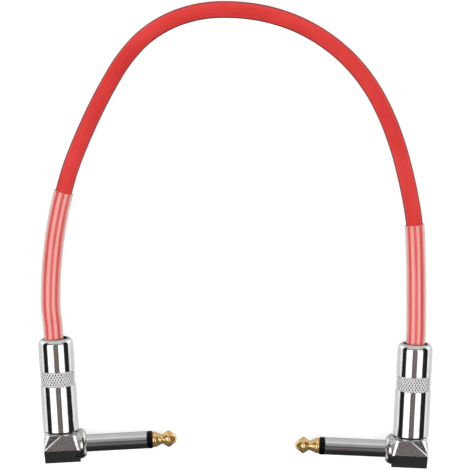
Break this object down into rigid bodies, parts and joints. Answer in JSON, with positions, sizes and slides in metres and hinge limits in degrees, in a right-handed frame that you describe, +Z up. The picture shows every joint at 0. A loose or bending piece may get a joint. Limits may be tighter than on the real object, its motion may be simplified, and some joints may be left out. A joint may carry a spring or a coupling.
{
  "type": "instrument cable",
  "caption": "Short instrument patch cable with a right-angle 6.35 mm mono plug at each end, screw-on knurled barrels and clear tubing over the cord's ends.",
  "frame": {"origin": "on the surface it lies on, under the centre of the box round the two plugs, without the cord", "axes": "+X to the right along the two plugs' fingers, +Y from the plugs towards the top of the cord's arch, +Z up off the surface"},
  "size_m": [0.1434, 0.172, 0.0129],
  "materials": {
    "plated_casting": "bright nickel plate on a die casting",
    "plated_barrel": "bright nickel plate, turned, with a diamond knurl",
    "plated_cap": "plain nickel plate",
    "nickel_sleeve": "bright nickel plate on turned brass",
    "gold_tip": "gold plate on turned brass",
    "gilt_strip": "gold flash on stamped brass",
    "black_plastic": "moulded, gloss",
    "white_plastic": "moulded, matte",
    "fibre_washer": "vulcanised fibre",
    "solder": "tin solder, satin",
    "core_plastic": "extruded, matte",
    "copper_wire": "bare stranded copper",
    "liner_plastic": "thin translucent sleeve",
    "clear_vinyl": "clear soft tubing, gloss",
    "red_vinyl": "soft jacket, satin"
  },
  "bodies": {
    "cable": {"left_elbow_body": "plated_casting", "left_elbow_end_cap": "plated_cap", "left_plug_sleeve": "nickel_sleeve", "left_insulator_ring": "black_plastic", "left_rod_insulator": "white_plastic", "left_plug_tip": "gold_tip", "left_rear_washer": "fibre_washer", "left_tip_lug": "gilt_strip", "left_ground_clamp": "gilt_strip", "left_tip_solder": "solder", "left_shield_solder": "solder", "left_core_insulation": "core_plastic", "left_core_conductor": "copper_wire", "left_shield_pigtail": "copper_wire", "left_clear_boot": "clear_vinyl", "right_elbow_body": "plated_casting", "right_elbow_end_cap": "plated_cap", "right_plug_sleeve": "nickel_sleeve", "right_insulator_ring": "black_plastic", "right_rod_insulator": "white_plastic", "right_plug_tip": "gold_tip", "right_rear_washer": "fibre_washer", "right_tip_lug": "gilt_strip", "right_ground_clamp": "gilt_strip", "right_tip_solder": "solder", "right_shield_solder": "solder", "right_core_insulation": "core_plastic", "right_core_conductor": "copper_wire", "right_shield_pigtail": "copper_wire", "right_clear_boot": "clear_vinyl", "cable_jacket": "red_vinyl"},
    "left_liner": {"left_barrel_liner": "liner_plastic"},
    "left_shell": {"left_barrel_shell": "plated_barrel"},
    "right_liner": {"right_barrel_liner": "liner_plastic"},
    "right_shell": {"right_barrel_shell": "plated_barrel"}
  },
  "joints": [
    {"name": "left_barrel_travel", "type": "slide", "parent": "cable", "child": "left_liner", "axis": [-0.055, 0.9985, 0], "range_m": [0, 0.00375]},
    {"name": "left_barrel_turn", "type": "hinge", "parent": "left_liner", "child": "left_shell", "pos_m": [-0.0634, -0.0103, 0.00645], "axis": [-0.055, 0.9985, 0], "range_deg": [0, 1800]},
    {"name": "right_barrel_travel", "type": "slide", "parent": "cable", "child": "right_liner", "axis": [0.0445, 0.999, 0], "range_m": [0, 0.00375]},
    {"name": "right_barrel_turn", "type": "hinge", "parent": "right_liner", "child": "right_shell", "pos_m": [0.06415, -0.01225, 0.00645], "axis": [0.0445, 0.999, 0], "range_deg": [0, 1800]}
  ],
  "couplings": [
    {"joint": "left_barrel_travel", "follows": "left_barrel_turn", "m_per_rad": 0.00011937},
    {"joint": "right_barrel_travel", "follows": "right_barrel_turn", "m_per_rad": 0.00011937}
  ]
}
